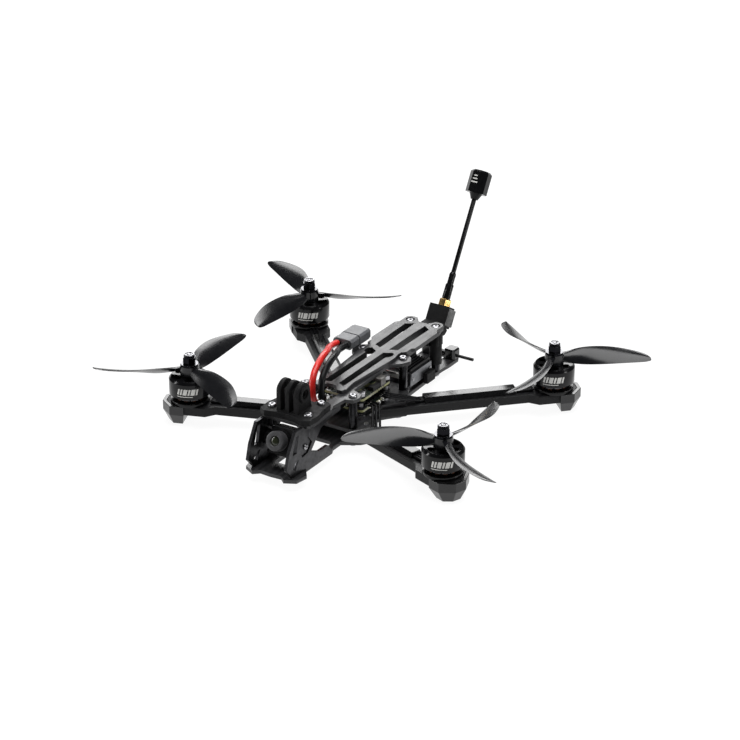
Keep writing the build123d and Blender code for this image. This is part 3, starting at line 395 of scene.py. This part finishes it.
PLUG_X, PLUG_Z = -23.5, 46.05
PLUG_AT = Matrix(((1, 0, 0, PLUG_X), (0, 0, 1, 0), (0, 1, 0, PLUG_Z), (0, 0, 0, 1)))  # heights run along +Y
CONTACTS = (-3.6, 3.6)  # across the plug, either side of its middle
bm = bmesh.new()
prism(bm, plug_outline(15.8, 8.1, 1.3, 2.5), -2.6, 9.6, PLUG_AT)
prism(bm, plug_outline(15.0, 7.4, 1.3, 2.3), 9.4, 11.5, PLUG_AT)
prism(bm, plug_outline(14.9, 7.3, 1.5, 2.2), -12.5, -2.4, PLUG_AT)
for y in (-10.6, -8.8, -7.0):  # finger grips on both flanks
    for x in (-7.4, 7.4):
        block(bm, (x, 0, y), (0.9, 4.2, 0.8), PLUG_AT)
plug_body = finish_piece("plug_body", bm, PLUG, rounding=0.55, replaces=["battery_plug"])
bm = bmesh.new()
for x in CONTACTS:
    lathe(bm, [(1.2, 11.7), (2.0, 11.7), (2.3, 11.4), (2.3, 10.8), (1.2, 10.8), (1.2, 11.7)], 24,
          PLUG_AT @ Matrix.Translation((x, 0, 0)))
finish_piece("plug_contacts", bm, BRASS)
bm = bmesh.new()
for x in CONTACTS:
    lathe(bm, [(0, -14.2), (2.55, -14.2), (2.75, -13.9), (2.75, -12.2), (0, -12.2)], 28,
          PLUG_AT @ Matrix.Translation((x, 0, 0)))
finish_piece("plug_boots", bm, CHIP)

# ---------------------------------------------------------------- motors
FACING = -58.0  # the bell's mark looks forward and to the left
BARS = [(-34, 5), (-26, 5), (-18, 11), (-4, 5), (4, 11), (18, 5)]  # start and width, in degrees
BELL_R, SHAFT_R = 14.0, 2.5
TEETH, MAGNETS = 12, 14
IRON_LOW, IRON_HIGH = 18.8, 28.4  # the stator's iron, between its windings' ends
NUT_TOP = 47.5


def patch(bm, radius, start, end, low, high, lean=0.0, steps=5, proud=0.05, matrix=Matrix()):
    """A thin raised mark on a drum, between two angles and two heights."""
    sunk = radius - 0.15
    rings = []
    for k in range(steps + 1):
        angle = start + (end - start) * k / steps
        ring = []
        for r, z in ((sunk, low), (radius + proud, low), (radius + proud, high), (sunk, high)):
            a = math.radians(angle + (lean if z == high else 0))
            ring.append(bm.verts.new(matrix @ Vector((r * math.cos(a), r * math.sin(a), z))))
        rings.append(ring)
    bm.faces.new(list(reversed(rings[0])))
    bm.faces.new(rings[-1])
    for one, two in zip(rings, rings[1:]):
        for k in range(4):
            j = (k + 1) % 4
            bm.faces.new((one[k], one[j], two[j], two[k]))


for corner, (x, y, turn) in CORNERS.items():
    here = Matrix.Translation((x, y, 0)) @ Matrix.Rotation(math.radians(turn), 4, "Z")
    bm = bmesh.new()
    for cx, cy, angle in bolt_circle(7.6, TEETH):  # one coil round each tooth
        spot = here @ Matrix.Translation((cx, cy, 0)) @ Matrix.Rotation(angle, 4, "Z")
        for turn_z, swell in ((17.5, 1.25), (18.05, 1.55), (18.6, 1.7), (28.9, 1.6), (29.3, 1.2)):
            prism(bm, [(-2.5, -swell), (2.6, -swell), (3.0, -swell * 0.5), (3.0, swell * 0.5), (2.6, swell),
                       (-2.5, swell)], turn_z, turn_z + 0.5, spot)
        for side in (-1, 1):
            block(bm, (0, side * 1.35, 23.8), (4.9, 0.9, 10.4), spot)
    finish_piece(f"windings_{corner}", bm, COPPER, replaces=[f"stator_{corner}"], rounding=0.14)
    bm = bmesh.new()
    for cx, cy, angle in bolt_circle(10.8, TEETH):
        spot = here @ Matrix.Translation((cx, cy, 0)) @ Matrix.Rotation(angle, 4, "Z")
        prism(bm, [(-0.9, -2.2), (0.1, -2.5), (0.2, 0), (0.1, 2.5), (-0.9, 2.2)], IRON_LOW, IRON_HIGH, spot)
    lathe(bm, [(4.1, IRON_LOW), (5.6, IRON_LOW), (5.6, IRON_HIGH), (4.1, IRON_HIGH), (4.1, IRON_LOW)],
          36, here)
    finish_piece(f"stator_iron_{corner}", bm, STACK_IRON)
    bm = bmesh.new()
    for cx, cy, angle in bolt_circle(11.75, MAGNETS):
        spot = here @ Matrix.Translation((cx, cy, 0)) @ Matrix.Rotation(angle, 4, "Z")
        block(bm, (0, 0, 25.4), (0.8, 4.4, 9.2), spot)
    finish_piece(f"magnets_{corner}", bm, SHIELD, f"rotor_{corner}", rounding=0.12)
    drum = Matrix.Translation((x, y, 0))
    bm = bmesh.new()
    for start, width in BARS:
        patch(bm, BELL_R, FACING + start, FACING + start + width, 24.2, 28.4, lean=4, matrix=drum)
    patch(bm, BELL_R, FACING - 34, FACING + 10, 22.7, 23.2, steps=12, matrix=drum)
    finish_piece(f"bell_mark_{corner}", bm, WHITE, f"rotor_{corner}")
    nut_top = drum @ Matrix.Translation((0, 0, NUT_TOP))
    bm = bmesh.new()
    lathe(bm, [(SHAFT_R, 0), (3.45, 0), (3.45, 0.65), (3.2, 0.9), (2.75, 0.9), (SHAFT_R, 0.65), (SHAFT_R, 0)],
          32, nut_top)
    lathe(bm, [(0, 0), (1.5, 0), (1.5, 0.8), (1.2, 1.0), (0, 1.0)], 24, nut_top)
    finish_piece(f"nut_rim_{corner}", bm, STEEL, f"rotor_{corner}")

# ---------------------------------------------------------------- foot guards
BAND_LOW, RIM_Z, TRAY_Z = 8.2, 14.55, 8.5  # the upright wall's lower edge, its rim, and the arm's underside
GUARD_WALL = [(1.5, -12.9), (11.2, -12.6), (18.1, -4.2), (18.1, 4.2), (11.2, 12.6), (1.5, 12.9)]
PAD_EDGE = [(1.5, -12.03), (8.5, -12.03), (15.53, -3.5), (15.53, 3.5), (8.5, 12.03), (1.5, 12.03)]
FOOT_EDGE = [(3.5, -8), (10, -8), (14, -3), (14, 3), (10, 8), (3.5, 8)]
for corner, (x, y, turn) in CORNERS.items():  # a tray round the arm's pad, open towards the arm
    outward = math.radians(turn if x > 0 else turn + 180)
    arm = Matrix.Translation((x, y, 0)) @ Matrix.Rotation(outward, 4, "Z")
    bm = bmesh.new()
    foot, band, rim, lip, tray = (
        [bm.verts.new(arm @ Vector((u, v, z))) for u, v in outline]
        for outline, z in ((FOOT_EDGE, 0), (GUARD_WALL, BAND_LOW), (GUARD_WALL, RIM_Z),
                           (PAD_EDGE, RIM_Z), (PAD_EDGE, TRAY_Z)))
    for lower, upper in ((foot, band), (band, rim), (rim, lip), (lip, tray)):
        for k in range(5):
            bm.faces.new((lower[k], lower[k + 1], upper[k + 1], upper[k]))
    bm.faces.new((foot[5], foot[0], band[0], band[5]))
    bm.faces.new((band[0], rim[0], lip[0], tray[0], tray[5], lip[5], rim[5], band[5]))
    bm.faces.new(foot)
    bm.faces.new(tray)
    finish_piece(f"guard_{corner}", bm, GUARD, rounding=0.3, replaces=[f"foot_guard_{corner}"],
                 crease=15)

# ---------------------------------------------------------------- camera
TILT = math.radians(23)
PIVOT = Vector((0, -116.5, 24.0))
GLASS_R, GLASS_Z, GLASS_CROWN = 3.15, 12.6, 0.75
look_out = Vector((0, -math.cos(TILT), math.sin(TILT)))
sideways = Vector((1, 0, 0))
lens_at = Matrix((sideways, look_out.cross(sideways), look_out)).transposed().to_4x4()
lens_at.translation = PIVOT
bm = bmesh.new()
lathe(bm, [(0, 1.0), (6.0, 1.0), (6.0, 7.7), (6.6, 7.9), (6.6, 9.0), (6.35, 9.15), (6.35, 9.6), (6.6, 9.75),
           (6.6, 13.0), (6.3, 13.75), (5.9, 13.9), (3.7, 13.75), (3.35, 13.4), (3.2, 12.6), (0, 12.6)],
      64, lens_at)
finish_piece("lens_barrel", bm, RING, "camera", replaces=["camera_lens"])
GLASS = Graph("lens_glass", Roughness=0.04, Specular_IOR_Level=0.45)
# painted reflection: the glass is painted lighter and yellow-green where its face turns away from the eye, a
# glint on the coating
rim = GLASS.node("LayerWeight", {"Blend": 0.35}).outputs["Facing"]
GLASS.surface(GLASS.tint(GLASS.math("ADD", rim, GLASS.math("MULTIPLY", GLASS.noise(0.2, 2), 0.15)),
                         (0.004, 0.007, 0.006), (0.07, 0.075, 0.03)))
bm = bmesh.new()
dome = [(GLASS_R * math.cos(math.radians(a)), GLASS_Z + GLASS_CROWN * math.sin(math.radians(a)))
        for a in range(0, 90, 15)]
lathe(bm, [(GLASS_R, 12.55)] + dome + [(0, GLASS_Z + GLASS_CROWN)], 48, lens_at)
finish_piece("lens_glass", bm, GLASS.mat, "camera")
bm = bmesh.new()
for sx in (-1, 1):
    for sy in (-1, 1):
        lathe(bm, [(0, 5.3), (0.95, 5.3), (0.95, 5.75), (0.7, 5.95), (0.35, 5.95), (0.3, 5.6), (0, 5.6)],
              20, lens_at @ Matrix.Translation((sx * 7.6, sy * 7.6, 0)))
finish_piece("camera_screws", bm, NUT, "camera")

# ---------------------------------------------------------------- action-camera mount
bm = bmesh.new()
for side in (-1, 1):  # a raised rim round the cross hole, outside the outer ears
    rim_at = Matrix.Translation((side * 8.0, -107.0, 55.5)) @ Matrix.Rotation(side * math.pi / 2, 4, "Y")
    lathe(bm, [(3.3, 0), (5.4, 0), (5.4, 1.2), (5.0, 1.6), (3.7, 1.6), (3.3, 1.2), (3.3, 0)], 40, rim_at)
finish_piece("ear_rims", bm, TPU)

# ---------------------------------------------------------------- electronics
ESC_LOW, ESC_TOP = 22.0, 23.6  # the speed controller's faces
FC_LOW, FC_TOP = 30.0, 31.6  # the flight controller's faces
STACK_Y = -35.0


def scatter(bm, count, z, keep_out, half=15.5, sizes=((0.6, 1.2), (0.6, 1.6), (0.35, 0.7)), under=False):
    """Small parts soldered on a board, clear of its larger ones."""
    placed = 0
    while placed < count:
        x, y = random.uniform(-half, half), random.uniform(-half, half)
        a, b, c = (random.uniform(*s) for s in sizes)
        in_corner = abs(x) > 11.5 and abs(y) > 11.5
        if in_corner or any(abs(x - kx) < kw and abs(y - ky) < kh for kx, ky, kw, kh in keep_out):
            continue
        block(bm, (x, STACK_Y + y, z - c / 2 if under else z + c / 2), (a, b, c))
        placed += 1


GRAINS = ((0.3, 0.6), (0.3, 0.9), (0.2, 0.35))
LARGE = [(0, 0, 5.2, 5.2), (-6, 9, 4.6, 4.6), (6, -9, 4.6, 4.6), (9.5, 4, 5.5, 4.8)]
chips, tin, pale = bmesh.new(), bmesh.new(), bmesh.new()
scatter(chips, 70, FC_TOP, LARGE)
scatter(tin, 60, FC_TOP, LARGE, sizes=GRAINS)
scatter(pale, 26, FC_TOP, LARGE, sizes=((0.5, 0.9), (0.8, 1.4), (0.4, 0.6)))
scatter(chips, 60, FC_LOW, [], under=True)
scatter(tin, 50, FC_LOW, [], sizes=GRAINS, under=True)
POWER = [(0, 0, 5.6, 5.6), (0, 9, 12.5, 3.6), (0, -9, 12.5, 3.6)]
scatter(chips, 50, ESC_TOP, POWER)
scatter(tin, 60, ESC_TOP, POWER, sizes=((0.3, 0.7), (0.3, 0.9), (0.2, 0.35)))
for side in (-1, 1):
    for y in (-6.9, -2.3, 2.3, 6.9):  # power transistors and ceramic capacitors along both flanks
        block(chips, (side * 13.6, STACK_Y + y, ESC_TOP + 0.45), (3.3, 3.3, 0.9))
        block(pale, (side * 16.6, STACK_Y + y + 1.9, ESC_LOW - 0.6), (1.6, 0.9, 1.2))
        block(chips, (side * 13.6, STACK_Y + y, ESC_LOW - 0.45), (3.3, 3.3, 0.9))
    for k in range(8):  # castellated pads down each edge of both boards
        y = STACK_Y - 8.4 + 2.4 * k
        block(tin, (side * 17.75, y, FC_TOP - 0.8), (0.7, 1.3, 1.75))
        block(tin, (side * 17.75, y, ESC_TOP - 0.8), (0.7, 1.5, 1.75))
    block(chips, (side * 15.2, STACK_Y + 1, FC_TOP + 1.4), (4.4, 9.0, 2.8))
    for k in range(6):
        block(tin, (side * 17.5, STACK_Y - 2.6 + 1.25 * k, FC_TOP + 0.25), (0.9, 0.45, 0.5))
    for k in (-1, 0, 1):  # solder on the motor wires' ends
        for pad_y in (-42.5 + 2.6 * k, -25.8 + 2.6 * k):
            lathe(tin, [(0, 1.75), (0.9, 1.5), (1.35, 0.7), (1.5, 0), (0, 0)], 14,
                  Matrix.Translation((side * 16.9, pad_y, ESC_TOP)))
    lathe(tin, [(0, 27.6), (1.8, 27.2), (2.6, 26.0), (2.9, 24.2), (2.9, 23.7), (0, 23.7)], 20,
          Matrix.Translation((side * 3.4, -51.6, 0)))
finish_piece("board_parts", chips, CHIP, rounding=0.08)
finish_piece("board_solder", tin, SOLDER, rounding=0.06)
finish_piece("board_capacitors", pale, WHITE, rounding=0.06)

bm = bmesh.new()
lathe(bm, [(0, 34.2), (1.9, 34.2), (2.4, 33.9), (2.5, 31.7), (0, 31.7)], 32,
      Matrix.Translation((6.5, -46.5, 0)))
finish_piece("board_cans", bm, SLEEVE)
bm = bmesh.new()
prism(bm, [(10.2, -29.5), (18.2, -29.5), (18.2, -24.0), (16.6, -22.4), (10.2, -22.4)], 31.7, 37.0)
finish_piece("barometer_can", bm, CAN, rounding=0.7)
bm = bmesh.new()
for side in (-1, 1):  # the motor wires' solder, along both edges of the speed controller
    for y in (-37.0, -32.0, -27.3, -23.4, -19.4):
        lathe(bm, [(0, 1.25), (0.7, 1.15), (1.05, 0.75), (1.2, 0), (0, 0)], 16,
              Matrix.Translation((side * 17.9, y, 21.6)) @ Matrix.Rotation(side * math.pi / 2, 4, "Y"))
finish_piece("edge_solder", bm, SOLDER)
bm = bmesh.new()
block(bm, (9.5, -31.0, 33.2), (8.7, 7.1, 2.9))
block(bm, (-12.2, -45.8, 32.6), (4.6, 4.2, 2.0))
finish_piece("board_sockets", bm, SHIELD, rounding=0.3)

for k in range(6):  # loom from the stack back to the video transmitter
    x = -4.0 + 1.3 * k
    wire(f"loom_{k}", [(x, -18.5, 32.4), (x, -14.0, 32.6), (x * 1.2, -6.0, 30.0 + 0.3 * k),
                       (x * 1.5, 3.0, 27.0 - 0.4 * k), (x * 1.3, 10.0, 22.0), (x, 15.2, 19.5)],
         0.42, RED if k == 1 else BLACK)
wire("coax", [(9.0, 41.6, 17.0), (9.4, 46.0, 17.0), (7.0, 54.0, 19.0), (3.0, 63.0, 24.0),
              (0.5, 70.5, 28.5), (0.0, 73.3, 31.2)], 0.9, BLACK)

# ---------------------------------------------------------------- video transmitter
bm = bmesh.new()
for k in range(9):
    block(bm, (-6.4 + 2.3 * k, 28.5, 22.6), (0.9, 24.0, 2.4))
finish_piece("cooling_fins", bm, CHIP, rounding=0.15)
bm = bmesh.new()
for side in (-1, 1):
    for y in (17.6, 39.4):
        lathe(bm, [(0, 0), (1.25, 0), (1.25, 0.45), (0.9, 0.7), (0.45, 0.7), (0.4, 0.3), (0, 0.3)], 20,
              Matrix.Translation((side * 14.0, y, 17.0)) @ Matrix.Rotation(side * math.pi / 2, 4, "Y"))
finish_piece("transmitter_screws", bm, STEEL)
bm = bmesh.new()
block(bm, (0, 14.2, 18.6), (11.0, 2.4, 3.6))
finish_piece("transmitter_socket", bm, WHITE, rounding=0.3)

# ---------------------------------------------------------------- antenna
LEAN = math.radians(31)
antenna_at = Matrix.Translation((0, 80.7, 43.7)) @ Matrix.Rotation(-LEAN, 4, "X")
bm = bmesh.new()
for z in (6.2, 7.6, 9.0):
    lathe(bm, [(2.6, z), (3.05, z + 0.15), (3.05, z + 0.75), (2.6, z + 0.9), (2.6, z)], 32, antenna_at)
lathe(bm, [(2.0, 21.3), (2.45, 21.5), (2.3, 23.2), (1.55, 24.4), (1.55, 21.3), (2.0, 21.3)], 32, antenna_at)
finish_piece("antenna_grip", bm, ANTENNA)
bm = bmesh.new()
CAP_FLAT = 7.02  # from the axis to each of the cap's eight flats
face = antenna_at @ Matrix.Rotation(math.radians(-90), 4, "Z") @ Matrix.Translation((CAP_FLAT, 0, 0))
for z, width in ((92.6, 2.4), (90.4, 3.4), (88.0, 4.6)):
    block(bm, (0, 0, z), (0.3, width, 0.9), face)
finish_piece("antenna_mark", bm, WHITE)
bm = bmesh.new()
for side in (-1, 1):  # ribbed pads on both flanks of the mount's block, in a light grey that paints the light falling on those flanks
    block(bm, (side * 7.7, -0.8, -7.2), (0.6, 9.2, 12.0), antenna_at)
    for k in range(6):
        block(bm, (side * 8.1, -4.5 + 1.5 * k, -7.2), (0.9, 0.8, 11.6), antenna_at)
finish_piece("mount_ribs", bm, TPU_PAINTED_LIT, rounding=0.2)

# ---------------------------------------------------------------- stage
AZIMUTH, ELEVATION = math.radians(32.158), math.radians(25.476)
DISTANCE, OFFSET_RIGHT, OFFSET_UP = 1896.32, -1.84, -4.48
LOOKED_AT = Vector((0, -11.5, 37))
FOCAL_LENGTH, SENSOR = 138.40832, 36
back = Vector((math.sin(AZIMUTH) * math.cos(ELEVATION), -math.cos(AZIMUTH) * math.cos(ELEVATION),
               math.sin(ELEVATION)))
right = Vector((math.cos(AZIMUTH), math.sin(AZIMUTH), 0))
up = back.cross(right)
eye = (back * DISTANCE + right * OFFSET_RIGHT + up * OFFSET_UP + LOOKED_AT) * MM
camera = bpy.data.objects.new("camera", bpy.data.cameras.new("camera"))
camera.data.sensor_width = SENSOR
camera.data.lens = FOCAL_LENGTH
camera.data.clip_end = 50
camera.matrix_world = Matrix((right, up, back)).transposed().to_4x4()
camera.location = eye
bpy.context.scene.collection.objects.link(camera)
bpy.context.scene.camera = camera

floor_mesh = bpy.data.meshes.new("floor")
FLOOR_HALF = 6  # half the floor's side, in metres
floor_mesh.from_pydata([(-FLOOR_HALF, -FLOOR_HALF, 0), (FLOOR_HALF, -FLOOR_HALF, 0),
                        (FLOOR_HALF, FLOOR_HALF, 0), (-FLOOR_HALF, FLOOR_HALF, 0)], [], [(0, 1, 2, 3)])
floor = bpy.data.objects.new("floor", floor_mesh)
paper = Graph("floor", Roughness=0.9, Specular_IOR_Level=0.0, Emission_Color=(1, 1, 1, 1),
              Emission_Strength=0.93)
paper.surface(paper.tint(paper.noise(0.01, 2), (0.12, 0.12, 0.12), (0.14, 0.14, 0.14)))
floor_mesh.materials.append(paper.mat)
bpy.context.scene.collection.objects.link(floor)

world = bpy.data.worlds.new("studio")
bpy.context.scene.world = world
world.use_nodes = True
world.node_tree.nodes["Background"].inputs["Color"].default_value = (1, 1, 1, 1)
world.node_tree.nodes["Background"].inputs["Strength"].default_value = 0.06


def soft_light(name, place, aim, size, watts):
    data = bpy.data.lights.new(name, "AREA")
    data.shape = "RECTANGLE"
    data.size, data.size_y = size
    data.energy = watts
    obj = bpy.data.objects.new(name, data)
    obj.location = place
    obj.rotation_euler = (Vector(place) - Vector(aim)).to_track_quat("Z", "Y").to_euler()
    bpy.context.scene.collection.objects.link(obj)


AIM = (0, 0, 0.03)
soft_light("overhead", (0.0, 0.2, 2.2), AIM, (2.0, 2.0), 60)
soft_light("back_softbox", (-0.75, 1.15, 0.75), AIM, (1.1, 0.5), 10)
soft_light("left_strip", (-1.3, -0.9, 0.45), AIM, (0.22, 1.0), 9)
soft_light("right_strip", (1.5, 0.35, 0.5), AIM, (0.25, 1.0), 8)
bpy.context.scene.view_settings.view_transform = "Standard"
